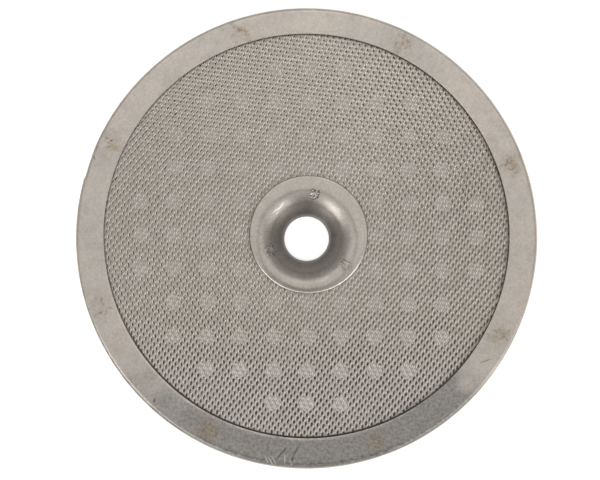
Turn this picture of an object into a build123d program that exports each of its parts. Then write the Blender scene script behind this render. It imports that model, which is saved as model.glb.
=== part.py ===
from build123d import *
from math import cos, hypot, radians, sin, tan
import os

os.makedirs("parts", exist_ok=True)

# Shower screen of an espresso machine: a pressed rim ring, a sheet of expanded metal, a punched
# support plate and a dished ferrule for the fixing screw, spot welded into one flat disc.
# Millimetres. The origin is on the axis of the screw hole, level with the edge of the rim that
# meets the brew group, and +Z points to the coffee side.

# Rim ring, a shallow cap pressed from sheet, with an opening punched a little off centre
rim_radius = 28.25
overall_height = 3.2
rim_sheet = 0.5
rim_bevel = 0.35
rim_flange = 3.41
rim_opening_shift = 0.2

# Expanded metal sheet, its openings in rows that are half a cell apart
mesh_sheet = 0.35
cell_short_way = 0.727
cell_long_way = 1.03
cell_turn = -7.6
cell_opening_share = 0.42
cell_crest_width = 0.06
cell_coarseness = 7.4

# Support plate, punched on a square grid
plate_sheet = 0.8
hole_radius = 0.95
hole_sides = 8
hole_pitch = 4.115
hole_field_margin = 3.4
hole_grid_shift = (0.2, 0.19)
hole_grid_turn = -0.5

# Centre ferrule, a bell mouth on the screw's axis with a flat lip punched off centre
bore_radius = 2.73
ferrule_sheet = 0.5
dish_radius = 6.1
dish_slope = 48
lip_radius = 7.26
lip_shift = (0.27, 0.34)
collar_length = 0.5

# Fits
disc_clearance = 0.2
ferrule_foot_clearance = 0.2
seat_turn = 25
nesting_gap = 0.03
field_border = 0.3

# Levels of the stacked sheets
mesh_top = overall_height - rim_sheet
plate_top = mesh_top - mesh_sheet
plate_bottom = plate_top - plate_sheet

# Both discs lie inside the ring, and its flange covers their edge
disc_radius = rim_radius - rim_sheet - disc_clearance
rim_opening_radius = rim_radius - rim_flange

# The bell mouth leaves the lip level, bends down along an arc and goes on as a straight cone
collar_top = ferrule_foot_clearance + collar_length
dish_run = dish_radius - bore_radius
dish_drop = overall_height - collar_top
slope = radians(dish_slope)
shoulder_radius = (dish_run * tan(slope) - dish_drop) / (sin(slope) * tan(slope) + cos(slope) - 1)
shoulder_height = overall_height - shoulder_radius

# The first part of its back is a cone too, and the discs are pressed down to lie against that
back_radius = shoulder_radius - ferrule_sheet
seat_radius = dish_radius - back_radius * sin(radians(seat_turn))
seat_fall = back_radius * (1 - cos(radians(seat_turn)))


with BuildPart() as rim_ring:
    with BuildSketch():
        Circle(rim_radius)
    extrude(amount=overall_height)
    offset(amount=-rim_sheet, openings=rim_ring.faces().sort_by(Axis.Z)[0])
    with BuildSketch(Plane.XY.offset(mesh_top)):
        with Locations((0, rim_opening_shift)):
            Circle(rim_opening_radius)
    extrude(amount=rim_sheet, mode=Mode.SUBTRACT)
    rim_face = rim_ring.faces().sort_by(Axis.Z)[-1]
    chamfer(rim_face.outer_wire().edges(), length=rim_bevel)

rim_ring.part.label = "rim_ring"
export_step(rim_ring.part, "parts/rim_ring.step")


# The cells are drawn coarser than the real ones, in the same proportions. Each opening is a funnel,
# narrow at the back and wide between the crests of the strands, which stand up as ridges.
cell_width = cell_short_way * cell_coarseness
cell_length = cell_long_way * cell_coarseness
cell_diagonal = hypot(cell_width, cell_length)
strand_pitch = cell_width * cell_length / cell_diagonal
opening_reach = cell_opening_share * strand_pitch / 2
flank_width = (strand_pitch - cell_crest_width * cell_coarseness) / 2 - opening_reach

with BuildPart() as opening_punch:
    with BuildSketch(Plane.XY.offset(plate_top)):
        Rectangle(cell_width, cell_length)
    extrude(amount=mesh_sheet)
    for x_side, y_side in ((1, 1), (-1, 1), (-1, -1), (1, -1)):
        x_share = x_side * cell_length / cell_diagonal
        y_share = y_side * cell_width / cell_diagonal
        flank = Plane(
            origin=(x_share * opening_reach, y_share * opening_reach, plate_top),
            z_dir=(x_share * mesh_sheet, y_share * mesh_sheet, -flank_width),
        )
        split(bisect_by=flank, keep=Keep.BOTTOM)

cell_columns = 2 * int(disc_radius / cell_width) + 1
cell_rows = 2 * int(disc_radius / cell_length) + 1
cell_grid = GridLocations(cell_width, cell_length, cell_columns, cell_rows).local_locations
half_cell = Vector(cell_width / 2, cell_length / 2)
cell_spots = [spot.position + step for spot in cell_grid for step in (Vector(), half_cell)]


def inside_field(spot):
    """Whether a cell centred here stays clear of the pressed seat and of the disc's edge."""
    corners = (
        spot + Vector(x * cell_width / 2, y * cell_length / 2)
        for x, y in ((1, 0), (0, 1), (-1, 0), (0, -1))
    )
    reach = [corner.length for corner in corners]
    return min(reach) > dish_radius + field_border and max(reach) < disc_radius - field_border


open_cells = [
    Location(spot.rotate(Axis.Z, cell_turn), (0, 0, cell_turn))
    for spot in cell_spots
    if inside_field(spot)
]

with BuildPart() as expanded_mesh:
    mesh_fall = seat_fall + nesting_gap
    with BuildSketch(Plane.XZ):
        with BuildLine():
            Polyline(
                (seat_radius, plate_top - mesh_fall),
                (dish_radius, plate_top),
                (disc_radius, plate_top),
                (disc_radius, mesh_top),
                (dish_radius, mesh_top),
                (seat_radius, mesh_top - mesh_fall),
                close=True,
            )
        make_face()
    revolve(axis=Axis.Z)
    with Locations(open_cells):
        add(opening_punch.part, mode=Mode.SUBTRACT)

expanded_mesh.part.label = "expanded_mesh"
export_step(expanded_mesh.part, "parts/expanded_mesh.step")


hole_field_radius = rim_opening_radius - hole_field_margin
hole_rows = 2 * int(hole_field_radius / hole_pitch) + 1
hole_grid = GridLocations(hole_pitch, hole_pitch, hole_rows, hole_rows).local_locations
hole_spots = [
    spot.position.rotate(Axis.Z, hole_grid_turn)
    for spot in hole_grid
    if lip_radius < spot.position.length < hole_field_radius
]

with BuildPart() as support_plate:
    plate_fall = mesh_fall + nesting_gap
    with BuildSketch(Plane.XZ):
        with BuildLine():
            Polyline(
                (seat_radius, plate_bottom - plate_fall),
                (dish_radius, plate_bottom),
                (disc_radius, plate_bottom),
                (disc_radius, plate_top),
                (dish_radius, plate_top),
                (seat_radius, plate_top - plate_fall),
                close=True,
            )
        make_face()
    revolve(axis=Axis.Z)
    with BuildSketch(Plane.XY.offset(plate_bottom)):
        with Locations(hole_grid_shift):
            with Locations(hole_spots):
                RegularPolygon(hole_radius, hole_sides)
    extrude(amount=plate_sheet, mode=Mode.SUBTRACT)

support_plate.part.label = "support_plate"
export_step(support_plate.part, "parts/support_plate.step")


with BuildPart() as centre_ferrule:
    collar_radius = bore_radius + ferrule_sheet
    back_end = collar_top + ferrule_sheet * (tan(slope) - 1 / cos(slope))
    with BuildSketch(Plane.XY.offset(mesh_top)):
        with Locations(lip_shift):
            Circle(lip_radius)
        Circle(dish_radius, mode=Mode.SUBTRACT)
    extrude(amount=ferrule_sheet)
    with BuildSketch(Plane.XZ):
        with BuildLine():
            shoulder = CenterArc((dish_radius, shoulder_height), shoulder_radius, 90, dish_slope)
            Polyline(
                shoulder @ 1,
                (bore_radius, collar_top),
                (bore_radius, ferrule_foot_clearance),
                (collar_radius, ferrule_foot_clearance),
                (collar_radius, back_end),
                (seat_radius, mesh_top - seat_fall),
                (dish_radius, mesh_top),
                shoulder @ 0,
            )
        make_face()
    revolve(axis=Axis.Z)

centre_ferrule.part.label = "centre_ferrule"
export_step(centre_ferrule.part, "parts/centre_ferrule.step")
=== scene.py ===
from math import cos, pi, radians, sin, sqrt, tan

import bpy
import numpy as np
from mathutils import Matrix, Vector
from mathutils.geometry import delaunay_2d_cdt


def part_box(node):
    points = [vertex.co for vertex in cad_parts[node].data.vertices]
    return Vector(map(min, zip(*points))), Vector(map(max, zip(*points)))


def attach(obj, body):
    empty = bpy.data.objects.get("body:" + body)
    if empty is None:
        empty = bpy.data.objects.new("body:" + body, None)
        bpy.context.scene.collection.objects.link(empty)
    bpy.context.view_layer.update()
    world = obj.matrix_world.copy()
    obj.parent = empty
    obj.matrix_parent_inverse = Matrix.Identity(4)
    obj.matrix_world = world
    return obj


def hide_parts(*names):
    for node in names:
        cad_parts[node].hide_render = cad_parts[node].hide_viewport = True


# Used shower screen of an espresso machine: a pressed rim ring, a sheet of very fine expanded metal,
# a punched support plate and a dished centre ferrule, spot welded into one flat disc.
# The frame is the solid model's: the origin on the axis of the screw hole, +Z to the coffee side and
# +Y to the top of the picture. Lengths are millimetres until a mesh or a node is given them, and
# angles are degrees about the screw's axis, from +X towards +Y.

MM = 0.001

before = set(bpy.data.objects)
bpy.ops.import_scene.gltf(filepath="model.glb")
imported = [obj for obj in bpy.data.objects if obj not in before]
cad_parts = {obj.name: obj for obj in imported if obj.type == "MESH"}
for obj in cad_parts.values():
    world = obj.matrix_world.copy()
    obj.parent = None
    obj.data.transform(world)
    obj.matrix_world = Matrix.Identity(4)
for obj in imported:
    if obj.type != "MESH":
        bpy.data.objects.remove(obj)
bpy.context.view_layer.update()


def levels(node):
    """Lowest and highest point of a node of the frame."""
    low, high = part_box(node)
    return low.z / MM, high.z / MM


def reach(node):
    """Largest radius about the screw's axis that stays inside a node's box."""
    low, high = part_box(node)
    return min(-low.x, -low.y, high.x, high.y) / MM


# Levels and outlines of the frame
rim_radius = reach("rim_ring")
top_level = levels("rim_ring")[1]
disc_radius = reach("expanded_mesh")
mesh_top = levels("expanded_mesh")[1]
plate_top = levels("support_plate")[1]
ferrule_foot = levels("centre_ferrule")[0]

# Rim ring
rim_columns = 1440
rim_sheet = top_level - mesh_top
rim_fold = 0.5
rim_inner_fold = 0.15
rim_edge = 0.07
rim_flat_end = rim_radius - rim_fold
rim_wall_radius = rim_radius - rim_sheet
opening_radius = 24.84
opening_shift = (0.0, 0.2)
flange_swell = 0.012
dent_depth = 0.11
rim_weld_angles = (19.4, 63.9, 107.7, 154.3, 198.9, 243.1, 288.1, 333.1)
rim_weld_radius = 26.5
rim_weld_size = 0.62
rim_weld_depth = 0.035

# Stretches of the ring: the angles where each begins, is full, is full no longer and ends
dent_stretch = (155, 163, 164.7, 165.2)
left_line_stretch = (60, 90, 235, 243)
front_band_stretch = (238, 246, 290, 300)
front_stretch = (185, 210, 275, 310)

# The grey stretch at the front of the ring, wear with a painted dark reflection, and how softly each
# of its ends comes in
grey_stretch_begin, grey_stretch_begin_softness = 226, 7
grey_stretch_end, grey_stretch_end_softness = 317.5, 1.6

# The darker line on the fold at the left, between two radii and darkest at an angle, and the middle
# of the darker band inside the fold at the front
left_line_begin, left_line_full = 28, 28.15
left_line_darkest = 220
front_band_radius = 27.8

# Dark scratches and bright streaks on the ring: middle, direction in degrees, length and width
rim_scratches = (
    ((-3.0, -26.4), 50, 3.1, 0.3),
    ((-1.35, -26.3), 62, 3.1, 0.24),
    ((-1.75, -27.2), 70, 1.0, 0.45),
    ((-26.0, 9.7), 111, 0.8, 0.2),
    ((-18.6, -20.05), 80, 0.65, 0.45),
    ((21.9, -15.2), 20, 2.0, 0.16),
)
rim_streaks = (
    ((-2.66, -27.2), 90, 1.8, 0.2),
    ((-4.4, -27.4), 122, 1.6, 0.18),
    ((-4.0, -27.3), 118, 1.7, 0.14),
    ((-4.9, -27.2), 112, 1.4, 0.16),
    ((-1.9, -27.6), 96, 1.0, 0.14),
)

# Expanded metal, one opening to a cell, turned by cell_turn degrees
short_way = 0.727
long_way = 1.03
cell_turn = -7.6
strand_thickness = 0.15
strand_rise = 0.1
field_inner = 6.5
field_outer = 25.6
field_margin = 0.3
disc_sides = 240

# Openings: half their size in mid field and what the front of the disc adds to it, their lean in
# degrees at the front and behind it, and how far they move out for each millimetre from the axis
opening_half_width, front_half_width = 0.079, 0.031
opening_half_length, front_half_length = 0.23, 0.035
front_lean = -10
slot_lean, slot_lean_swing = -6, 30
slot_drift = 0.0035

# Bright crests in one cell, a painted highlight with some rubbing, its long way upright: middle,
# direction in degrees, length and width
strand_crests = (
    ((-0.222, -0.06), 102.6, 0.54, 0.19),
    ((-0.133, 0.315), 67.6, 0.58, 0.18),
    ((0.23, -0.2), 67.6, 0.58, 0.18),
)

# Glints in the funnels: radius of the dot and of its core, the two distances along Y between which they
# get stronger, and their least and most strength
glint_radius, glint_core = 0.12, 0.03
glint_begin, glint_full = 2, 18
glint_least, glint_most = 0.05, 0.6

# Painted light above the plate's holes, standing for light that comes up through them: soft edge,
# strength, and the distances along Y, either way, to which they are full and at which they end
backlit_edge = 0.1
backlit_share = 0.2
backlit_full, backlit_end = 8, 13

# Dirt and painted shade on the sheet against the ring: where it is full and how wide its soft edge is,
# the direction in which it grows, from where to where it does, how much wider it gets, and its least
# and most strength
crevice_inset, crevice_edge = 0.06, 0.14
crevice_direction = (-0.22, -0.975, 0)
crevice_grows, crevice_grown = 4, 22
crevice_widening = 0.12
crevice_least, crevice_most = 0.52, 0.93

# The sheet gets a little greyer towards the front, between these two distances along Y
grey_begin, grey_full = -8, -20

# Support plate, punched on a square grid
plate_sheet = 0.8
plate_bottom = plate_top - plate_sheet
plate_edge = 0.08
hole_radius = 0.95
hole_sides = 40
hole_pitch = 4.115
hole_shift = (0.2, 0.19)
hole_turn = -0.5
hole_field = 21.43
hole_rows = 2 * int(hole_field / hole_pitch) + 1

# Centre ferrule: its bell mouth bends down along an arc and goes on as a straight cone to the collar.
# The arc's radius follows from the cone, here to a micrometre.
bore_radius = 2.73
dish_radius = 6.1
dish_slope = 48
ferrule_sheet = 0.5
collar_radius = bore_radius + ferrule_sheet
collar_top = ferrule_foot + 0.5
lip_radius = 7.26
lip_shift = (0.27, 0.34)
lip_edge = 0.2
bore_edge = 0.05
crease_width = 0.3
crease_depth = 0.02
steep = radians(dish_slope)
dish_run = dish_radius - bore_radius
dish_drop = top_level - collar_top
arc_share = sin(steep) * tan(steep) + cos(steep) - 1
shoulder_radius = round((dish_run * tan(steep) - dish_drop) / arc_share, 3)
shoulder = (dish_radius, top_level - shoulder_radius)
back_radius = shoulder_radius - ferrule_sheet
ferrule_columns = 720

# The discs are pressed down round the middle to lie against the first part of the ferrule's back
seat_turn = 25
nesting_gap = 0.03
seat_radius = round(dish_radius - back_radius * sin(radians(seat_turn)), 3)
mesh_fall = round(back_radius * (1 - cos(radians(seat_turn))) + nesting_gap, 3)
plate_fall = mesh_fall + nesting_gap

# Weld marks of the ferrule: radius, angle, size and darkness, and how high they stand
ferrule_weld_height = 0.05
ferrule_welds = ((5.38, 79, 0.6, 1.0), (5.95, 325, 0.7, 0.7), (4.74, 200, 0.75, 0.5))

# Fine bright scratches in the mouth: middle, direction in degrees, length and width
mouth_scratches = (
    ((-3.3, 3.6), 42, 1.7, 0.13),
    ((-3.0, 4.1), 38, 1.0, 0.1),
    ((-3.9, 3.2), 50, 1.3, 0.1),
    ((-3.6, 3.0), 45, 0.8, 0.09),
)

# Painted shade in the mouth, for its dark reflection, with some grey film: its strength at each radius,
# the painted shades that are added to it, as strength, angle and its spread, radius and its spread, and
# the painted bright patches in it, as angle and spread
mouth_shade_profile = ((3.3, 1), (3.7, 0.76), (4.1, 0.54), (4.5, 0.45), (5.1, 0.43), (5.6, 0.1), (6.1, 0))
mouth_shades = ((0.3, 270, 60, 5.05, 0.5), (0.25, 90, 30, 4.9, 0.6))
mouth_glares = ((46, 22), (136, 20))

# Painted shade on the front of the lip: strength, angle and its spread, distance in from the edge and
# its spread. Painted shade in the crease: its middle, a little off the axis, its spread and its strength
lip_front_shade = (0.6, 268, 60, 0.36, 0.3)
crease_shade_middle = (0.04, -0.35)
crease_shade_width, crease_shade_share = 0.24, 0.35
lip_highlight_stretch = (200, 220, 325, 345)

# Sizes of the patterns on the steel. The real grain of rolled and drawn sheet is some hundredths of a
# millimetre and wouldn't show in the picture, so it is drawn at about two pixels.
strip_grain = 0.22
cup_grain = 0.25
sheet_mottle = 0.3
film_clouds = 7.0
relief_depth = 0.02

# Camera: nearly straight above, a little to the front, on a long lens
image_width = 600
object_pixels = 460.3
camera_distance = 600.0
camera_elevation = 85.4
aim = (-0.81, -0.25, top_level / 2)

# Lamps: azimuth, angle from straight above and width of the disc in the sky, in degrees, and power
lamps = {"left_lamp": (225, 60, 48, 1.2), "right_lamp": (315, 60, 48, 0.95)}

# Panel behind the object, in metres and watts
panel_place = (0, 0.12, 0.22)
panel_width, panel_height = 0.24, 0.1
panel_power = 0.06

# Room: its mean light, and how much brighter it gets along each axis. Floor: its radius in metres, its
# sides and how bright the camera sees it
room_light = 0.33
room_rise = (0, 0.15, 0.65)
floor_radius = 3.0
floor_sides = 64
floor_glow = 0.42

# Options of a MapRange node whose ends are eased
EASED = {"interpolation_type": "SMOOTHSTEP"}


def arc(centre, radius, start, end, count):
    """Points on a circle about centre, count steps from the start to the end angle in degrees."""
    angle = np.radians(np.linspace(start, end, count + 1))
    return np.stack([centre[0] + radius * np.cos(angle), centre[1] + radius * np.sin(angle)], axis=1)


def run(start, end, count):
    """Points on a straight line from start towards end, the end left out."""
    share = np.arange(count)[:, None] / count
    return np.array(start) * (1 - share) + np.array(end) * share


def circle(radius, count, centre=(0, 0)):
    """Points of a whole circle, the first of them not repeated at the end."""
    angle = np.arange(count) * 2 * pi / count
    return np.stack([centre[0] + radius * np.cos(angle), centre[1] + radius * np.sin(angle)], axis=1)


def polar(radius, degrees):
    """The point at a radius and an angle about the screw's axis."""
    return radius * cos(radians(degrees)), radius * sin(radians(degrees))


def ring_grid(profile, columns, shift=(0, 0), shift_share=0):
    """A profile of (radius, level) points turned about the screw's axis: one row of the grid for each
    point of the profile and one column for each angle. shift_share of the shift moves a row sideways."""
    angle = np.arange(columns) * 2 * pi / columns
    radius, level = profile[:, :1], profile[:, 1:]
    share = np.broadcast_to(shift_share, len(profile))[:, None]
    x = radius * np.cos(angle) + shift[0] * share
    y = radius * np.sin(angle) + shift[1] * share
    return np.stack([x, y, np.broadcast_to(level, x.shape)], axis=2)


def ring_faces(rows, columns):
    """Quads of a grid whose rows and columns both close on themselves."""
    row, column = np.meshgrid(np.arange(rows), np.arange(columns), indexing="ij")
    next_row, next_column = (row + 1) % rows, (column + 1) % columns
    corners = (
        row * columns + column,
        next_row * columns + column,
        next_row * columns + next_column,
        row * columns + next_column,
    )
    return np.stack(corners, axis=2).reshape(-1, 4)


def waves(x, y, wavelength, seed):
    """Slow irregular swell from -1 to 1: the mean of nine plane waves in random directions."""
    draw = np.random.default_rng(seed)
    total = 0
    for turn, spread, phase in draw.uniform((0, 0.7, 0), (2 * pi, 1.4, 2 * pi), (9, 3)):
        along = x * cos(turn) + y * sin(turn)
        total = total + np.sin(2 * pi * along / (wavelength * spread) + phase)
    return np.clip(total / 4.5, -1, 1)


def bump(distance, size):
    """1 at distance zero, falling smoothly to nothing a few sizes away."""
    return np.exp(-((distance / size) ** 2))


def ramp(value, zero, one):
    """0 up to the first limit, 1 past the second, and a straight slope between them."""
    return np.clip((value - zero) / (one - zero), 0, 1)


def stretch(angle, begin, full, full_end, end):
    """1 over a stretch of angles, with a straight slope at either end."""
    return ramp(angle, begin, full) * ramp(angle, end, full_end)


def soft_step(value, softness):
    """0 far below zero, a half at zero and 1 far above it, along the logistic curve."""
    return 1 / (1 + np.exp(-value / softness))


# The two strand directions of the expanded sheet, each half a cell across and half a cell along
cell_across = np.array(polar(short_way / 2, cell_turn))
cell_along = np.array(polar(long_way / 2, cell_turn + 90))
strand_steps = np.stack([cell_across + cell_along, cell_across - cell_along])


def new_piece(name, points, faces, material, node, smooth_below=35, attributes=None):
    """A finished piece: points in millimetres and arrays of faces, edges sharper than smooth_below
    degrees left sharp, riding on the one body in place of a node of the frame."""
    mesh = bpy.data.meshes.new(name)
    loops = [loop for array in faces for loop in array.tolist()]
    mesh.from_pydata((np.asarray(points).reshape(-1, 3) * MM).tolist(), [], loops)
    mesh.polygons.foreach_set("use_smooth", np.ones(len(loops), dtype=bool))
    mesh.set_sharp_from_angle(angle=radians(smooth_below))
    for key, values in (attributes or {}).items():
        layer = mesh.attributes.new(key, "FLOAT", "POINT")
        layer.data.foreach_set("value", np.asarray(values, dtype=np.float32).ravel())
    mesh.materials.append(material)
    piece = bpy.data.objects.new(name, mesh)
    bpy.context.scene.collection.objects.link(piece)
    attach(piece, "root")
    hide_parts(node)


def colour(code):
    """An sRGB hex value as linear colour with full alpha."""
    values = [int(code[i : i + 2], 16) / 255 for i in (1, 3, 5)]
    return [v / 12.92 if v <= 0.04045 else ((v + 0.055) / 1.055) ** 2.4 for v in values] + [1.0]


def add(tree, kind, inputs, output=0, **settings):
    """Adds one node with its settings and gives one of its outputs. inputs holds values, and outputs
    of other nodes, which are linked."""
    node = tree.nodes.new("ShaderNode" + kind)
    for key, value in settings.items():
        setattr(node, key, value)
    for key, value in inputs.items():
        if isinstance(value, bpy.types.NodeSocket):
            tree.links.new(value, node.inputs[key])
        else:
            node.inputs[key].default_value = value
    return node.outputs[output] if node.outputs else None


def clear_tree(owner):
    """The emptied node tree of a material or a world."""
    owner.use_nodes = True
    owner.node_tree.nodes.clear()
    return owner.node_tree


def new_material(name):
    """A material with its empty node tree and the place on the object that its patterns read."""
    material = bpy.data.materials.new(name)
    tree = clear_tree(material)
    return material, tree, add(tree, "TexCoord", {}, "Object")


def blotches(tree, place, size, low, high, least=0.0, most=1.0, detail=4, roughness=0.6):
    """Cloudy pattern whose largest clouds are size millimetres across: least where the noise is under
    low, most where it is over high, eased between."""
    cloudy = {"Vector": place, "Scale": 1 / (size * MM), "Detail": detail, "Roughness": roughness}
    noise = add(tree, "TexNoise", cloudy)
    return add(tree, "MapRange", {0: noise, 1: low, 2: high, 3: least, 4: most}, **EASED)


def patch(tree, name, pattern):
    """A patch written on the piece's points, broken up by a pattern."""
    written = add(tree, "Attribute", {}, "Fac", attribute_name=name)
    return add(tree, "Math", {0: written, 1: pattern}, operation="MULTIPLY")


def mark(tree, place, middle, degrees, length, width, most=1.0):
    """A long oval mark with soft edges, its middle and sizes in millimetres."""
    oval = {
        "Vector": place,
        "Location": (middle[0] * MM, middle[1] * MM, 0),
        "Rotation": (0, 0, radians(degrees)),
        "Scale": (length / 2 * MM, width / 2 * MM, 1),
    }
    local = add(tree, "Mapping", oval, vector_type="TEXTURE")
    away = add(tree, "VectorMath", {0: local}, "Value", operation="LENGTH")
    return add(tree, "MapRange", {0: away, 1: 1.0, 2: 0.35, 3: 0.0, 4: most}, **EASED)


def coated(tree, base, coats):
    """Lays coats over a base colour one after another. Each has the share that it covers, its colour
    and, where it only darkens what is under it, the word MULTIPLY."""
    under = colour(base)
    for share, code, *how in coats:
        mixed = {0: share, 6: under, 7: colour(code)}
        under = add(tree, "Mix", mixed, 2, data_type="RGBA", blend_type=how[0] if how else "MIX")
    return under


def steel(tree, base, roughness, relief=None):
    """Bare stainless steel with its colour and roughness, and with a fine relief where there is one."""
    surface = {"Metallic": 1.0, "Base Color": base, "Roughness": roughness}
    if relief:
        grain, strength = relief
        raised = {"Height": grain, "Strength": strength, "Distance": relief_depth * MM}
        surface["Normal"] = add(tree, "Bump", raised)
    add(tree, "OutputMaterial", {0: add(tree, "BsdfPrincipled", surface)})


def pressed_steel():
    """Stainless steel strip, rolled and then pressed. That gives the eye a dull even grain under a warm
    tea-brown film, brown specks round the welds, a greyer stretch at the front that is wear with a
    painted dark reflection, dirt with painted shade in the opening's wall, a painted highlight on its
    edge at the front, a darker line and band on the fold, and scratches."""
    material, tree, place = new_material("pressed_stainless_strip")
    grain = blotches(tree, place, strip_grain, 0.35, 0.65, roughness=0.7)
    coats = [
        (blotches(tree, place, film_clouds, 0.35, 0.65), "#B2ACA5"),
        # grey stretch at the front: wear with a painted dark reflection
        (patch(tree, "wear_and_shade", blotches(tree, place, film_clouds, 0.2, 0.5, 0.85, 1.0)), "#93908C"),
        # painted highlight on the opening's edge at the front
        (patch(tree, "edge_highlight", blotches(tree, place, 1.0, 0.3, 0.6, 0.3, 0.8)), "#C9C3BC"),
        (patch(tree, "stain", blotches(tree, place, 2.0, 0.35, 0.6, 0.1, 0.45)), "#9A8873"),
        (patch(tree, "stain", blotches(tree, place, 0.9, 0.46, 0.6, 0, 0.55, roughness=0.7)), "#82725F"),
        (patch(tree, "stain", blotches(tree, place, 0.45, 0.56, 0.64, 0, 0.6)), "#5C4F42"),
        (patch(tree, "edge", blotches(tree, place, 0.9, 0.35, 0.6, 0.4, 1.0, roughness=0.7)), "#66615D"),
        # dirt with painted shade in the opening's wall
        (patch(tree, "dirt_and_shade", blotches(tree, place, 0.9, 0.3, 0.6, 0.5, 1.0, roughness=0.7)), "#3E332B"),
        (blotches(tree, place, 1.4, 0.45, 0.7, 0, 0.3, detail=5, roughness=0.65), "#DEDBD8", "MULTIPLY"),
        (grain, "#ECEBE9", "MULTIPLY"),
        (patch(tree, "wear_and_shade", blotches(tree, place, 0.35, 0.4, 0.62, roughness=0.7)), "#DFDDDB", "MULTIPLY"),
    ]
    coats += [(mark(tree, place, *scratch, most=0.7), "#4A4541") for scratch in rim_scratches]
    coats += [(mark(tree, place, *streak, most=0.5), "#D5D0CA") for streak in rim_streaks]
    base = coated(tree, "#BCB3AA", coats)
    steel(tree, base, blotches(tree, place, film_clouds, 0.3, 0.7, 0.36, 0.46), (grain, 0.12))
    return material


def place_in_cell(tree, place):
    """The place within one cell of the expanded sheet, nought at the middle of its opening: cells are
    counted along the two strand directions, and what is left of the count after its whole cells is
    turned back into a place."""
    across, along = short_way * MM, long_way * MM
    turned = {"Vector": place, "Rotation": (0, 0, radians(cell_turn)), "Scale": (across, along, 1)}
    share = add(tree, "Mapping", turned, vector_type="TEXTURE")
    counted = {"Vector": share, "Rotation": (0, 0, -pi / 4), "Scale": (sqrt(2), sqrt(2), 0)}
    count = add(tree, "Mapping", counted, vector_type="POINT")
    half_cell = {0: count, 1: (0.5, 0.5, 0.5), 2: (-0.5, -0.5, -0.5)}
    left = add(tree, "VectorMath", half_cell, operation="WRAP")
    back = {"Vector": left, "Rotation": (0, 0, -pi / 4), "Scale": (sqrt(2) / across, sqrt(2) / along, 1)}
    return add(tree, "Mapping", back, vector_type="TEXTURE")


def rubbed_and_lit_crests(tree, place, local):
    """Share of the bright crests of one cell, a painted highlight with some rubbing: the strongest of its
    marks, broken up over the sheet.
    """
    crest = 0
    for middle, degrees, length, width in strand_crests:
        one = mark(tree, local, middle, degrees, length, width)
        crest = add(tree, "Math", {0: one, 1: crest}, operation="MAXIMUM")
    patchy = blotches(tree, place, 0.9, 0.3, 0.6, 0.5, 1.0)
    return add(tree, "Math", {0: crest, 1: patchy}, operation="MULTIPLY")


def funnel_glints(tree, place, local):
    """Share of the small bright spot on the inner side of each funnel: a round dot, moved inwards as far
    as the opening has moved outwards, weak at the front of the disc and strong at its back."""
    drifted = {0: place, 1: (slot_drift, slot_drift, 0), 2: local}
    drifted = add(tree, "VectorMath", drifted, operation="MULTIPLY_ADD")
    away = add(tree, "VectorMath", {0: drifted}, "Value", operation="LENGTH")
    dot = add(tree, "MapRange", {0: away, 1: glint_radius * MM, 2: glint_core * MM}, **EASED)
    upwards = add(tree, "SeparateXYZ", {0: place}, 1)
    stronger = {0: upwards, 1: glint_begin * MM, 2: glint_full * MM, 3: glint_least, 4: glint_most}
    strength = add(tree, "MapRange", stronger, **EASED)
    glint = add(tree, "Math", {0: dot, 1: strength}, operation="MULTIPLY")
    patchy = blotches(tree, place, 0.8, 0.35, 0.6, 0.3, 1.0)
    return add(tree, "Math", {0: glint, 1: patchy}, operation="MULTIPLY")


def backlit_spots(tree, flat):
    """Share of the lighter grey painted above each hole of the plate, standing for light that comes up
    through it, in the band where the slots are narrow. The place is turned into the plate's grid, and
    what is left of it after whole steps of the grid is the place above one hole."""
    shift = (hole_shift[0] * MM, hole_shift[1] * MM, 0)
    turned = {"Vector": flat, "Location": shift, "Rotation": (0, 0, radians(hole_turn))}
    on_grid = add(tree, "Mapping", turned, vector_type="TEXTURE")
    half_step = hole_pitch / 2 * MM
    half_steps = {0: on_grid, 1: (half_step, half_step, half_step), 2: (-half_step, -half_step, -half_step)}
    above_hole = add(tree, "VectorMath", half_steps, operation="WRAP")
    from_hole = add(tree, "VectorMath", {0: above_hole}, "Value", operation="LENGTH")
    hole = add(tree, "VectorMath", {0: on_grid, 1: above_hole}, operation="SUBTRACT")
    hole_distance = add(tree, "VectorMath", {0: hole}, "Value", operation="LENGTH")
    in_field = add(tree, "Math", {0: hole_distance, 1: hole_field * MM}, operation="LESS_THAN")
    from_middle = add(tree, "Math", {0: add(tree, "SeparateXYZ", {0: flat}, 1)}, operation="ABSOLUTE")
    band = {0: from_middle, 1: backlit_end * MM, 2: backlit_full * MM, 3: 0.0, 4: backlit_share}
    strength = add(tree, "MapRange", band, **EASED)
    rim, core = (hole_radius + backlit_edge) * MM, (hole_radius - backlit_edge) * MM
    spot = add(tree, "MapRange", {0: from_hole, 1: rim, 2: core, 3: 0.0, 4: strength}, **EASED)
    return add(tree, "Math", {0: spot, 1: in_field}, operation="MULTIPLY")


def dirt_and_shade_at_ring(tree, flat):
    """Share of the dirt and painted shade against the ring: a fine line at the back, wider and darker the
    further ahead a place is towards the front, which the dot product with that direction gives."""
    middle = (opening_shift[0] * MM, opening_shift[1] * MM, 0)
    edge = add(tree, "VectorMath", {0: flat, 1: middle}, "Value", operation="DISTANCE")
    ahead = add(tree, "VectorMath", {0: flat, 1: crevice_direction}, "Value", operation="DOT_PRODUCT")
    grows = {0: ahead, 1: crevice_grows * MM, 2: crevice_grown * MM}
    wider = add(tree, "MapRange", {**grows, 3: 0.0, 4: crevice_widening * MM})
    darkest = add(tree, "MapRange", {**grows, 3: crevice_least, 4: crevice_most})
    edge = add(tree, "Math", {0: edge, 1: wider}, operation="ADD")
    full = (opening_radius - crevice_inset) * MM
    begin = full - crevice_edge * MM
    return add(tree, "MapRange", {0: edge, 1: begin, 2: full, 3: 0.0, 4: darkest}, **EASED)


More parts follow.
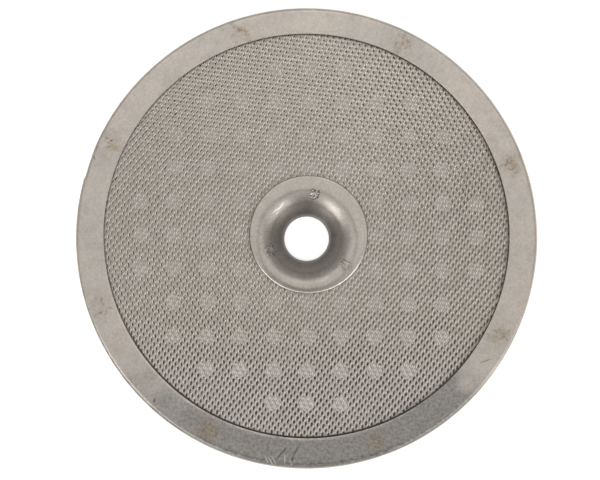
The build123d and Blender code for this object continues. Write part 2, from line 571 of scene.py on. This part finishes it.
def expanded_steel():
    """Stainless foil, slit and stretched, and never polished. The crests of the strands that lean to
    the right carry a painted highlight, with some rubbing, and the insides of the funnels at the back
    of the disc carry painted glints. What lies between them keeps a film of coffee oil. Above the
    plate's holes the sheet is painted lighter, standing for light that comes up through the holes, and
    a brown rim of dirt and painted shade marks where the sheet runs under the ring."""
    material, tree, place = new_material("slit_and_stretched_stainless")
    flat = add(tree, "VectorMath", {0: place, 1: (1, 1, 0)}, operation="MULTIPLY")
    local = place_in_cell(tree, place)
    upwards = add(tree, "SeparateXYZ", {0: place}, 1)
    front = add(tree, "MapRange", {0: upwards, 1: grey_begin * MM, 2: grey_full * MM}, **EASED)
    base = coated(tree, "#989086", [
        (front, "#A29E98"),
        (blotches(tree, place, 5.0, 0.35, 0.65, 0, 0.5), "#9C968F"),
        # painted light above the plate's holes
        (backlit_spots(tree, flat), "#A9A8A5"),
        # painted highlight on the crests, with some rubbing
        (rubbed_and_lit_crests(tree, place, local), "#DCD5CC"),
        (funnel_glints(tree, place, local), "#FFFAF2"),
        (blotches(tree, place, sheet_mottle, 0.35, 0.65, 0, 0.3, detail=2), "#8A8279"),
        # dirt and painted shade where the sheet runs under the ring
        (dirt_and_shade_at_ring(tree, flat), "#3D322B"),
    ])
    steel(tree, base, 0.42)
    return material


def punched_steel():
    """Stainless plate, rolled and punched. That gives the eye a plain sheet, smoother than the ring,
    under a thin brown film. The side against the expanded sheet is painted dark: a thicker film and
    painted shade under the sheet."""
    material, tree, place = new_material("punched_stainless_plate")
    base = coated(tree, "#B3ADA4", [
        (blotches(tree, place, 6.0, 0.35, 0.65), "#9C958B"),
        (blotches(tree, place, sheet_mottle, 0.3, 0.7, 0, 0.2, detail=2), "#8A8279"),
        # painted shade with film on the side under the expanded sheet
        (patch(tree, "shade_and_film", 0.9), "#4D453D"),
    ])
    steel(tree, base, blotches(tree, place, 6.0, 0.3, 0.7, 0.34, 0.44))
    return material


def drawn_steel():
    """Stainless cup, deep drawn. That gives the eye a half bright mouth as it came from the die,
    painted shade with some grey film towards the hole, grainy burnt metal at the welds and a painted
    highlight on its edges."""
    material, tree, place = new_material("drawn_stainless_cup")
    grain = blotches(tree, place, cup_grain, 0.35, 0.65, roughness=0.7)
    coats = [
        (blotches(tree, place, 2.5, 0.3, 0.7, roughness=0.65), "#AFA9A1"),
        # painted shade with some film in the mouth, at the lip's front and in the crease
        (patch(tree, "dirt_and_shade", blotches(tree, place, 1.5, 0.3, 0.7, 0.88, 1.0)), "#6B6865"),
        # painted highlight on the lip's edge and the bore's edge
        (patch(tree, "edge_highlight", 0.9), "#F2EEE8"),
        (patch(tree, "weld", blotches(tree, place, 0.2, 0.62, 0.47, 0, 0.85, detail=2)), "#403B36"),
        (patch(tree, "weld", blotches(tree, place, 0.2, 0.47, 0.62, 0, 0.85, detail=2)), "#C9C4BC"),
        (grain, "#EBE9E6", "MULTIPLY"),
    ]
    coats += [(mark(tree, place, *scratch, most=0.55), "#FFFFFF") for scratch in mouth_scratches]
    base = coated(tree, "#B9B2AA", coats)
    steel(tree, base, blotches(tree, place, 2.5, 0.3, 0.7, 0.34, 0.44), (grain, 0.2))
    return material


def rim_profile():
    """The ring's section: from the opening's edge out over the flat flange, down round the fold, and
    back up the inside to the flange's underside. An arc holds its own last point, so the run that
    follows it begins a little further on."""
    flange_start = opening_radius + rim_edge + 0.05
    wall_start = top_level - rim_fold - 0.3
    inside_start = 0.8
    inner_turn = rim_wall_radius - rim_inner_fold
    under_start = inner_turn - 0.6
    return np.concatenate([
        run((opening_radius, mesh_top), (opening_radius, top_level - rim_edge), 2),
        arc((opening_radius + rim_edge, top_level - rim_edge), rim_edge, 180, 90, 3),
        run((flange_start, top_level), (rim_flat_end, top_level), 28),
        arc((rim_flat_end, top_level - rim_fold), rim_fold, 90, 0, 8),
        run((rim_radius, wall_start), (rim_radius, rim_edge), 5),
        arc((rim_radius - rim_edge, rim_edge), rim_edge, 0, -90, 2),
        arc((rim_wall_radius + rim_edge, rim_edge), rim_edge, -90, -180, 2),
        run((rim_wall_radius, inside_start), (rim_wall_radius, mesh_top - rim_inner_fold), 2),
        arc((inner_turn, mesh_top - rim_inner_fold), rim_inner_fold, 0, 90, 3),
        run((under_start, mesh_top), (opening_radius, mesh_top), 2),
    ])


def make_rim_ring():
    """The cap: its section turned about the screw's axis. The opening is off centre, so each row moves
    sideways by its share of the shift, which is all of it at the opening and nothing at the fold."""
    profile = rim_profile()
    share = ramp(profile[:, 0], rim_flat_end, opening_radius)
    grid = ring_grid(profile, rim_columns, opening_shift, share)
    x, y, z = grid[..., 0], grid[..., 1], grid[..., 2]
    radius = np.hypot(x, y)
    angle = np.degrees(np.arctan2(y, x)) % 360
    outer_face = (z > mesh_top + 0.01) | (radius > rim_wall_radius + 0.2)

    # The fold was knocked flat for a few degrees at the left, with a small step at its lower end
    dent = stretch(angle, *dent_stretch) * ramp(radius, rim_flat_end - 0.3, rim_flat_end + 0.2)
    knock = dent_depth * dent * outer_face
    x -= knock * x / radius
    y -= knock * y / radius

    # The flange is only nearly flat, and each weld leaves a shallow dimple and a stain round it
    top = outer_face & (z > top_level - 0.02)
    z -= top * flange_swell * (1 + waves(x, y, 11, seed=3))
    stain = np.zeros_like(z)
    for number, weld_angle in enumerate(rim_weld_angles):
        weld_x, weld_y = polar(rim_weld_radius, weld_angle)
        distance = np.hypot(x - weld_x, y - weld_y) * (1 + 0.25 * waves(x, y, 1.3, seed=20 + number))
        z -= top * rim_weld_depth * bump(distance, rim_weld_size * 0.75)
        stain += bump(distance, rim_weld_size * 1.8)
    # The grey stretch at the front, wear with a painted dark reflection, its ends made ragged
    wear_and_shade = soft_step(angle - grey_stretch_begin + 5 * waves(x, y, 4, seed=5), grey_stretch_begin_softness)
    wear_and_shade *= soft_step(grey_stretch_end - angle - 3 * waves(x, y, 3, seed=6), grey_stretch_end_softness)

    # The fold is drawn darker in a thin line at the left, less of it down the wall, and in a ragged band
    # inside the fold at the front
    left = stretch(angle, *left_line_stretch) * (0.5 + 0.4 * bump(angle - left_line_darkest, 25))
    left *= np.clip(z - 1.6, 0.3, 1) * ramp(radius, left_line_begin, left_line_full)
    ragged = front_band_radius + 0.12 * waves(x, y, 0.9, seed=7)
    front = stretch(angle, *front_band_stretch) * bump(radius - ragged, 0.16)
    edge = left + 0.7 * front

    # The opening's wall gets dirt and painted shade, most at the front, and the edge above it gets a
    # painted highlight there
    facing = stretch(angle, *front_stretch)
    at_edge = np.broadcast_to((profile[:, 0] < opening_radius + 0.02)[:, None], z.shape)
    dirt_and_shade = at_edge * (z < top_level - 0.1) * (0.35 + 0.65 * facing)
    from_edge = np.hypot(x - opening_shift[0], y - opening_shift[1]) - opening_radius
    edge_highlight = top * facing * bump(from_edge - 0.12, 0.14)
    new_piece(
        "rim_ring_pressed", grid, [ring_faces(*grid.shape[:2])], pressed_steel(), "rim_ring",
        attributes={
            "stain": np.clip(stain, 0, 1), "wear_and_shade": wear_and_shade, "edge": edge, "dirt_and_shade": dirt_and_shade, "edge_highlight": edge_highlight,
        },
    )


def loop_edges(start, count):
    """Edges of a closed loop of count points, the first of them numbered start."""
    index = start + np.arange(count)
    return np.column_stack([index, np.roll(index, -1)])


def flat_triangles(points, edges, belongs):
    """Flat triangles between closed outlines, wherever belongs() says that a middle is on the sheet."""
    found = delaunay_2d_cdt([Vector(point) for point in points], edges.tolist(), [], 0, 1e-7, True)
    given = np.array([first[0] for first in found[3]])
    triangles = given[np.array(found[2])]
    return triangles[belongs(points[triangles].mean(axis=1))]


def strip(grid):
    """An open profile turned about the axis, with the quads between its rows."""
    rows, columns = grid.shape[:2]
    return grid, [ring_faces(rows, columns)[: (rows - 1) * columns]]


def seat_strip(bottom, top, fall):
    """The inner edge of a disc, from its bottom at the dish down to the pressed seat and back up."""
    profile = np.array([
        (dish_radius, bottom), (seat_radius, bottom - fall), (seat_radius, top - fall), (dish_radius, top),
    ])
    return strip(ring_grid(profile, disc_sides))


def merged_piece(name, patches, material, node, smooth_below=35, attributes=None):
    """Patches, each points and arrays of faces, joined into one closed surface: points that round to
    the same place, to a ten-thousandth of a millimetre, become one. attributes gives functions of the
    points."""
    grids = [np.asarray(points).reshape(-1, 3) for points, _ in patches]
    starts = np.cumsum([0] + [len(grid) for grid in grids])
    points = np.concatenate(grids)
    places = np.round(points / 1e-4).astype(np.int64)
    _, first, same = np.unique(places, axis=0, return_index=True, return_inverse=True)
    same = same.ravel()
    faces = [same[array + start] for (_, arrays), start in zip(patches, starts) for array in arrays]
    values = {key: value(points[first]) for key, value in (attributes or {}).items()}
    new_piece(name, points[first], faces, material, node, smooth_below, values)


def whole_cells():
    """Steps along the two strand directions to the middle of every cell of the open field."""
    most = int(2 * disc_radius / short_way) + 2
    step = np.arange(-most, most + 1)
    cells = np.stack(np.meshgrid(step, step), axis=-1).reshape(-1, 2)
    distance = np.hypot(*(cells @ strand_steps).T)
    return cells[(distance > field_inner + field_margin) & (distance < field_outer - field_margin)]


def funnel_openings(middle):
    """Six corners of each opening, clockwise from its top, and how far each stands above the middle of
    the sheet. An opening is a long hexagon, widest at the front of the disc. Further back it is a
    narrow slot that moves outwards in its cell and leans by the sine of twice its azimuth. Its right
    edge stands up and its left edge hangs down, because every strand leans the same way."""
    draw = np.random.default_rng(11)
    uneven = draw.standard_normal((6, len(middle))).clip(-2, 2)
    x, y = middle.T
    distance = np.hypot(x, y)
    twice_azimuth = 2 * np.arctan2(y, x)

    # Where an opening is: -1 to 1 from mid field to the front, and shares from 0 to 1
    front = np.tanh((-y - 11) / 5)
    not_front = (1 - front) / 2
    back = ramp(y, 6, 20)
    behind_ferrule = back * bump(x, 9)
    near_ferrule = bump(distance - field_inner, 6)
    sideways = not_front * (x / distance) ** 2

    wide = opening_half_width + front_half_width * front
    wide *= 1 + 0.14 * uneven[0] + 0.12 * waves(x, y, 9, seed=8)
    wide *= (1 - 0.75 * near_ferrule) * (1 + 0.3 * back) * (1 - 0.3 * sideways)
    tall = (opening_half_length + front_half_length * front) * (1 + 0.09 * uneven[1])
    tall *= (1 - 0.4 * behind_ferrule) * (1 + 0.35 * sideways)
    lean = front_lean * (1 - not_front) + (slot_lean + slot_lean_swing * np.sin(twice_azimuth)) * not_front
    lean = np.radians(lean + 3.5 * uneven[2])[:, None]
    outwards = middle * (slot_drift * not_front * (1 + 0.8 * back))[:, None]
    off_middle = outwards + 0.012 * uneven[3:5].T

    corner_x = np.array([0, 1, 1, 0, -1, -1]) * wide[:, None]
    corner_y = np.array([1, 0.55, -0.55, -1, -0.55, 0.55]) * tall[:, None]
    corners = (middle + off_middle)[:, None] + np.stack([
        corner_x * np.cos(lean) - corner_y * np.sin(lean),
        corner_x * np.sin(lean) + corner_y * np.cos(lean),
    ], axis=2)
    uneven_rise = strand_rise * (1 + 0.25 * uneven[5]).clip(0.3, 1.0)
    rise = np.array([0, 1, 1, 0, -1, -1]) * uneven_rise[:, None]
    return corners, rise


def cell_bonds(cells):
    """Places of all bonds, where four strands meet, and the numbers of the bonds at the top, right,
    bottom and left of each cell, which lie half a step from its middle."""
    bond_steps = 2 * cells[:, None] + np.array([(1, -1), (1, 1), (-1, 1), (-1, -1)])
    spots, bonds = np.unique(bond_steps.reshape(-1, 2), axis=0, return_inverse=True)
    spot = spots / 2 @ strand_steps
    spot += 0.01 * np.stack([waves(*spot.T, 3, seed=31), waves(*spot.T, 3, seed=32)], axis=1)
    return spot, bonds.reshape(len(cells), 4)


def open_net(spot, bonds, corners, rise, middle_level):
    """The open field as points and faces: between the bonds and the opening of each cell lie four quads
    and two triangles, the underside is the same turned over, and the openings' walls join the two."""
    top = np.concatenate([
        np.column_stack([spot, np.full(len(spot), middle_level)]),
        np.concatenate([corners, (middle_level + rise)[..., None]], axis=2).reshape(-1, 3),
    ])
    low = top - (0, 0, strand_thickness)
    under = len(top)
    corner = len(spot) + np.arange(corners.shape[0] * 6).reshape(-1, 6)
    top_bond, right_bond, low_bond, left_bond = bonds.T
    c0, c1, c2, c3, c4, c5 = corner.T
    quads = np.concatenate([
        np.column_stack([top_bond, c0, c1, right_bond]),
        np.column_stack([right_bond, c2, c3, low_bond]),
        np.column_stack([low_bond, c3, c4, left_bond]),
        np.column_stack([left_bond, c5, c0, top_bond]),
    ])
    triangles = np.concatenate([
        np.column_stack([right_bond, c1, c2]),
        np.column_stack([left_bond, c4, c5]),
    ])
    after = np.roll(corner, -1, axis=1)
    walls = np.stack([corner, corner + under, after + under, after], axis=2).reshape(-1, 4)
    faces = [quads, triangles, quads[:, ::-1] + under, triangles[:, ::-1] + under, walls]
    return np.concatenate([top, low]), faces


def plain_border(cells, spot, bonds, middle_level):
    """The sheet that isn't open, as a top and an underside: flat triangles between the outline of the
    open field and the circles at the disc's edge and at the dish. The field's outline is made of the
    cell sides that no second cell shares."""
    sides = np.concatenate([bonds[:, [k, (k + 1) % 4]] for k in range(4)])
    _, where, uses = np.unique(np.sort(sides, axis=1), axis=0, return_index=True, return_counts=True)
    outline_spots, outline = np.unique(sides[where[uses == 1]], return_inverse=True)
    flat = np.concatenate([
        spot[outline_spots], circle(disc_radius, disc_sides), circle(dish_radius, disc_sides)
    ])
    edges = np.concatenate([
        outline.reshape(-1, 2),
        loop_edges(len(outline_spots), disc_sides),
        loop_edges(len(outline_spots) + disc_sides, disc_sides),
    ])
    most = np.abs(cells).max() + 2
    is_cell = np.zeros((4 * most, 4 * most), dtype=bool)
    is_cell[tuple(cells.T + 2 * most)] = True

    def on_border(centre):
        steps_away = np.round(centre @ np.linalg.inv(strand_steps)).astype(int)
        radius = np.hypot(*centre.T)
        between = (radius < disc_radius) & (radius > dish_radius)
        return between & ~is_cell[tuple(steps_away.T + 2 * most)]

    border = flat_triangles(flat, edges, on_border)
    on_circle = np.arange(len(flat)) >= len(outline_spots)
    border_top = np.column_stack([flat, np.where(on_circle, mesh_top, middle_level)])
    border_low = np.column_stack([flat, np.where(on_circle, plate_top, middle_level - strand_thickness)])
    return [(border_top, [border]), (border_low, [border[:, ::-1]])]


def make_expanded_mesh():
    """Cells on a sheared square grid, whose middles lie at whole steps along the two strand directions.
    Each cell is the rhombus between four bonds with a funnel opening in it, and a plain border closes
    the disc."""
    cells = whole_cells()
    middle_level = mesh_top - strand_rise
    spot, bonds = cell_bonds(cells)
    edge_profile = np.array([(disc_radius, mesh_top), (disc_radius, plate_top)])
    patches = [
        open_net(spot, bonds, *funnel_openings(cells @ strand_steps), middle_level),
        *plain_border(cells, spot, bonds, middle_level),
        strip(ring_grid(edge_profile, disc_sides)),
        seat_strip(plate_top, mesh_top, mesh_fall),
    ]
    merged_piece("expanded_mesh_fine", patches, expanded_steel(), "expanded_mesh", 50)


def make_support_plate():
    """A flat disc with round punched holes: flat triangles between the circles, and for each hole a
    short wall with rounded edges. The middle is pressed down to the ferrule's back."""
    row = (np.arange(hole_rows) - (hole_rows - 1) / 2) * hole_pitch
    grid = np.stack(np.meshgrid(row, row), axis=-1).reshape(-1, 2)
    distance = np.hypot(*grid.T)
    grid = grid[(distance > lip_radius) & (distance < hole_field)]
    turned = np.array([polar(1, hole_turn), polar(1, hole_turn + 90)])
    middles = grid @ turned + hole_shift
    mouth = hole_radius + plate_edge
    flat_edge = disc_radius - plate_edge

    outlines = [circle(flat_edge, disc_sides), circle(dish_radius, disc_sides)]
    outlines += [circle(mouth, hole_sides, middle) for middle in middles]
    sizes = [len(outline) for outline in outlines]
    starts = np.cumsum([0] + sizes)
    edges = np.concatenate([loop_edges(start, size) for start, size in zip(starts, sizes)])

    def on_plate(centre):
        away = np.hypot(centre[:, None, 0] - middles[:, 0], centre[:, None, 1] - middles[:, 1])
        radius = np.hypot(*centre.T)
        between = (radius > dish_radius) & (radius < flat_edge)
        return between & (away.min(axis=1) > mouth * 0.999)

    flat = np.concatenate(outlines)
    sheet = flat_triangles(flat, edges, on_plate)
    hole_profile = np.concatenate([
        arc((mouth, plate_bottom + plate_edge), plate_edge, 270, 180, 3),
        arc((mouth, plate_top - plate_edge), plate_edge, 180, 90, 3),
    ])
    edge_profile = np.concatenate([
        arc((flat_edge, plate_top - plate_edge), plate_edge, 90, 0, 2),
        arc((flat_edge, plate_bottom + plate_edge), plate_edge, 0, -90, 2),
    ])
    wall = ring_grid(hole_profile, hole_sides)
    patches = [
        (np.column_stack([flat, np.full(len(flat), plate_top)]), [sheet]),
        (np.column_stack([flat, np.full(len(flat), plate_bottom)]), [sheet[:, ::-1]]),
        strip(ring_grid(edge_profile, disc_sides)),
        seat_strip(plate_bottom, plate_top, plate_fall),
    ]
    patches += [strip(wall + (*middle, 0)) for middle in middles]
    # The top face is marked for the painted shade under the expanded sheet
    merged_piece(
        "support_plate_punched", patches, punched_steel(), "support_plate",
        attributes={"shade_and_film": lambda points: points[:, 2] > plate_top - 0.02},
    )


def ferrule_profile():
    """The eyelet's section, and how many of its points are on the face: up the bore, out along the cone
    and the bell mouth, over the flat lip, round its edge and back underneath. An arc holds its own last
    point, so the run that follows it begins a little further on."""
    bore_steps, cone_steps, mouth_steps, lip_steps = 4, 22, 44, 22
    face_points = bore_steps + cone_steps + mouth_steps + 1 + lip_steps
    cone_angle = 90 + dish_slope
    cone_end = arc(shoulder, shoulder_radius, cone_angle, 90, 1)[0]
    lip_start = dish_radius + 0.03
    back_end = collar_top + ferrule_sheet * (tan(steep) - 1 / cos(steep))
    back_cone = 0.35
    back_start = (collar_radius + back_cone, back_end + back_cone * tan(steep))
    profile = np.concatenate([
        run((bore_radius, ferrule_foot + bore_edge), (bore_radius, collar_top), bore_steps),
        run((bore_radius, collar_top), cone_end, cone_steps),
        arc(shoulder, shoulder_radius, cone_angle, 90, mouth_steps),
        run((lip_start, top_level), (lip_radius - lip_edge, top_level), lip_steps),
        arc((lip_radius - lip_edge, top_level - lip_edge), lip_edge, 90, 0, 4),
        run((lip_radius, mesh_top + 0.2), (lip_radius, mesh_top), 2),
        run((lip_radius, mesh_top), (dish_radius, mesh_top), 4),
        arc(shoulder, back_radius, 90, cone_angle - 6, 8),
        run(back_start, (collar_radius, back_end), 2),
        run((collar_radius, back_end), (collar_radius, ferrule_foot + bore_edge), 2),
        run((collar_radius - bore_edge, ferrule_foot), (bore_radius + bore_edge, ferrule_foot), 2),
    ])
    return profile, face_points


def make_centre_ferrule():
    """The eyelet: its section turned about the screw's axis. The lip is off centre, so each row moves
    sideways by its share of the shift, which is nothing at the mouth and all of it at the lip's edge."""
    profile, face_points = ferrule_profile()
    share = ramp(profile[:, 0], dish_radius, lip_radius)
    grid = ring_grid(profile, ferrule_columns, lip_shift, share)
    x, y, z = grid[..., 0], grid[..., 1], grid[..., 2]
    radius = np.hypot(x, y)
    angle = np.degrees(np.arctan2(y, x)) % 360
    face = np.arange(len(profile))[:, None] < face_points
    z -= face * crease_depth * bump(radius - dish_radius, crease_width)

    # Each weld is a shallow dent with a rough ridge round it
    weld_mark = np.zeros_like(z)
    for number, (weld_radius, weld_angle, size, strength) in enumerate(ferrule_welds):
        weld_x, weld_y = polar(weld_radius, weld_angle)
        distance = np.hypot(x - weld_x, y - weld_y) * (1 + 0.2 * waves(x, y, 0.8, seed=40 + number))
        crater = bump(distance - size * 0.62, 0.16) - 1.2 * bump(distance, 0.3)
        rough = 1 + 0.8 * waves(x, y, 0.28, seed=50 + number)
        z += face * ferrule_weld_height * crater * rough * (distance < 2)
        weld_mark += strength * (bump(distance - size * 0.75, 0.22) + 0.4 * bump(distance, 0.4))
    z[...] = np.minimum(z, top_level)

    # Painted shade in the mouth, for its dark reflection, with some grey film and less of it under the
    # painted bright patches, and painted shade in a band at the front of the lip and in the crease
    shade_and_film = np.interp(radius, *zip(*mouth_shade_profile))
    for strength, shade_angle, spread, shade_radius, width in mouth_shades:
        shade_and_film += strength * bump(angle - shade_angle, spread) * bump(radius - shade_radius, width)
    glare = sum(bump(angle - glare_angle, spread) for glare_angle, spread in mouth_glares)
    shade_and_film *= 1 - 0.45 * glare * ramp(radius, 3.6, 4.1)
    from_edge = lip_radius - np.hypot(x - lip_shift[0], y - lip_shift[1])
    strength, film_angle, spread, inset, width = lip_front_shade
    at_front = strength * bump(angle - film_angle, spread) * bump(from_edge - inset, width)
    shade_and_film += at_front * (radius > dish_radius)
    from_crease = np.hypot(x - crease_shade_middle[0], y - crease_shade_middle[1]) - dish_radius
    crease = bump(from_crease + 0.08 * waves(x, y, 5, seed=61), crease_shade_width)
    dirt_and_shade = face * (shade_and_film + crease_shade_share * crease) * (0.92 + 0.08 * waves(x, y, 2, seed=60))

    # Painted highlight on the lip's edge at the front, and on the edge of the bore all round
    edge_highlight = stretch(angle, *lip_highlight_stretch) * (profile[:, :1] > lip_radius - lip_edge * 0.85)
    edge_highlight = edge_highlight * (z > top_level - lip_edge * 1.2) + face * 0.2 * ramp(radius, 3.05, 2.9)
    new_piece(
        "centre_ferrule_drawn", grid, [ring_faces(*grid.shape[:2])], drawn_steel(),
        "centre_ferrule", attributes={
            "weld": np.clip(weld_mark, 0, 1), "dirt_and_shade": np.clip(dirt_and_shade, 0, 1), "edge_highlight": edge_highlight,
        },
    )


def make_camera():
    """Looks at the aim point so that the rim is object_pixels wide in the picture."""
    seen_width = 2 * rim_radius * image_width / object_pixels
    data = bpy.data.cameras.new("camera")
    data.sensor_width = 36
    data.lens = data.sensor_width * camera_distance / seen_width
    data.clip_start = 0.01
    data.clip_end = 20
    camera = bpy.data.objects.new("camera", data)
    tilt = radians(camera_elevation)
    away = Vector((0, -cos(tilt), sin(tilt)))
    camera.location = (Vector(aim) + away * camera_distance) * MM
    camera.rotation_euler = (-away).to_track_quat("-Z", "Y").to_euler()
    bpy.context.scene.collection.objects.link(camera)
    bpy.context.scene.camera = camera


def make_lamp(name, azimuth, from_zenith, spread, power):
    """A far soft lamp: spread is the width of its disc in the sky, in degrees."""
    data = bpy.data.lights.new(name, "SUN")
    data.angle = radians(spread)
    data.energy = power
    lamp = bpy.data.objects.new(name, data)
    tilt, turn = radians(from_zenith), radians(azimuth)
    towards = Vector((sin(tilt) * cos(turn), sin(tilt) * sin(turn), cos(tilt)))
    lamp.rotation_euler = towards.to_track_quat("Z", "Y").to_euler()
    bpy.context.scene.collection.objects.link(lamp)


def make_panel():
    """A small soft panel behind the object that faces the origin."""
    data = bpy.data.lights.new("back_panel", "AREA")
    data.shape = "RECTANGLE"
    data.size, data.size_y = panel_width, panel_height
    data.energy = panel_power
    panel = bpy.data.objects.new("back_panel", data)
    panel.location = panel_place
    panel.rotation_euler = panel.location.to_track_quat("Z", "Y").to_euler()
    bpy.context.scene.collection.objects.link(panel)


def make_room():
    """An even pale room, brighter overhead: its light is the mean, plus the dot product of the
    direction of sight with room_rise."""
    world = bpy.data.worlds.new("room")
    tree = clear_tree(world)
    direction = add(tree, "TexCoord", {}, "Generated")
    facing = add(tree, "VectorMath", {0: direction, 1: room_rise}, "Value", operation="DOT_PRODUCT")
    strength = add(tree, "Math", {0: facing, 1: room_light}, operation="ADD")
    light = add(tree, "Background", {"Color": colour("#FFFFFF"), "Strength": strength})
    add(tree, "OutputWorld", {0: light})
    bpy.context.scene.world = world


def make_floor():
    """A round white card that takes the object's shadow. It glows a little for rays that come from the
    camera, straight, off the metal or through it, so that the background is white."""
    material = bpy.data.materials.new("white_card")
    tree = clear_tree(material)
    card = add(tree, "BsdfDiffuse", {"Color": colour("#EFEFEF")})
    seen = 0
    for ray in ("Is Camera Ray", "Is Glossy Ray", "Is Transmission Ray"):
        seen = add(tree, "Math", {0: add(tree, "LightPath", {}, ray), 1: seen}, operation="MAXIMUM")
    glow = add(tree, "Math", {0: seen, 1: floor_glow}, operation="MULTIPLY")
    white = add(tree, "Emission", {"Color": colour("#FFFAF5"), "Strength": glow})
    add(tree, "OutputMaterial", {0: add(tree, "AddShader", {0: white, 1: card})})

    points = np.column_stack([circle(floor_radius, floor_sides), np.zeros(floor_sides)])
    mesh = bpy.data.meshes.new("floor")
    mesh.from_pydata(points.tolist(), [], [list(range(floor_sides))])
    mesh.materials.append(material)
    floor = bpy.data.objects.new("floor", mesh)
    bpy.context.scene.collection.objects.link(floor)


make_rim_ring()
make_expanded_mesh()
make_support_plate()
make_centre_ferrule()
make_camera()
for lamp_name, lamp_values in lamps.items():
    make_lamp(lamp_name, *lamp_values)
make_panel()
make_room()
make_floor()
bpy.context.scene.view_settings.view_transform = "Standard"
